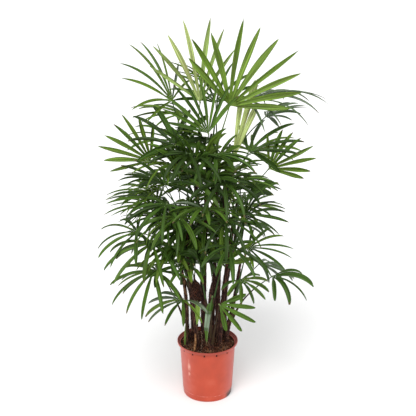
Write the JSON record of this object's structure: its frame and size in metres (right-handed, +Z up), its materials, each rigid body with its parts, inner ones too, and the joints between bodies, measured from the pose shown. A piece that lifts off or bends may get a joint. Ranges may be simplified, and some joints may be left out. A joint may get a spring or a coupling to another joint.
{
  "type": "potted lady palm",
  "caption": "A clump of slender fibre-clad canes with fan-shaped fronds of narrow pleated straps, growing in a round tapered terracotta-coloured plastic pot.",
  "frame": {"origin": "the middle of the pot's flat underside, where it meets the floor", "axes": "+Z up along the pot's axis and the height of the plant, +X to the viewer's right, +Y away from the viewer"},
  "size_m": [1.0933, 0.9432, 1.8833],
  "materials": {
    "pot_plastic": "satin",
    "compost": "matte",
    "cane_fibre": "matte",
    "fresh_green": "satin",
    "deep_green": "satin"
  },
  "bodies": {
    "root": {"cane_1": "cane_fibre", "cane_10": "cane_fibre", "cane_11": "cane_fibre", "cane_12": "cane_fibre", "cane_2": "cane_fibre", "cane_3": "cane_fibre", "cane_4": "cane_fibre", "cane_5": "cane_fibre", "cane_6": "cane_fibre", "cane_7": "cane_fibre", "cane_8": "cane_fibre", "cane_9": "cane_fibre", "frond_10_1": "deep_green", "frond_10_2": "deep_green", "frond_10_3": "deep_green", "frond_10_4": "deep_green", "frond_11_1": "deep_green", "frond_11_2": "deep_green", "frond_11_3": "deep_green", "frond_11_4": "deep_green", "frond_12_1": "deep_green", "frond_12_2": "deep_green", "frond_12_3": "deep_green", "frond_1_1": "deep_green", "frond_1_2": "deep_green", "frond_1_3": "deep_green", "frond_2_1": "deep_green", "frond_2_2": "deep_green", "frond_2_3": "deep_green", "frond_2_4": "deep_green", "frond_3_1": "deep_green", "frond_3_2": "deep_green", "frond_3_3": "deep_green", "frond_3_4": "deep_green", "frond_4_1": "deep_green", "frond_4_2": "deep_green", "frond_4_3": "deep_green", "frond_4_4": "deep_green", "frond_5_1": "fresh_green", "frond_5_2": "fresh_green", "frond_5_3": "deep_green", "frond_5_4": "deep_green", "frond_6_1": "deep_green", "frond_6_2": "deep_green", "frond_6_3": "deep_green", "frond_6_4": "deep_green", "frond_7_1": "deep_green", "frond_7_2": "fresh_green", "frond_7_3": "deep_green", "frond_7_4": "deep_green", "frond_8_1": "deep_green", "frond_8_2": "deep_green", "frond_8_3": "deep_green", "frond_8_4": "deep_green", "frond_9_1": "deep_green", "frond_9_2": "deep_green", "frond_9_3": "deep_green", "pot": "pot_plastic", "soil": "compost"}
  },
  "joints": []
}
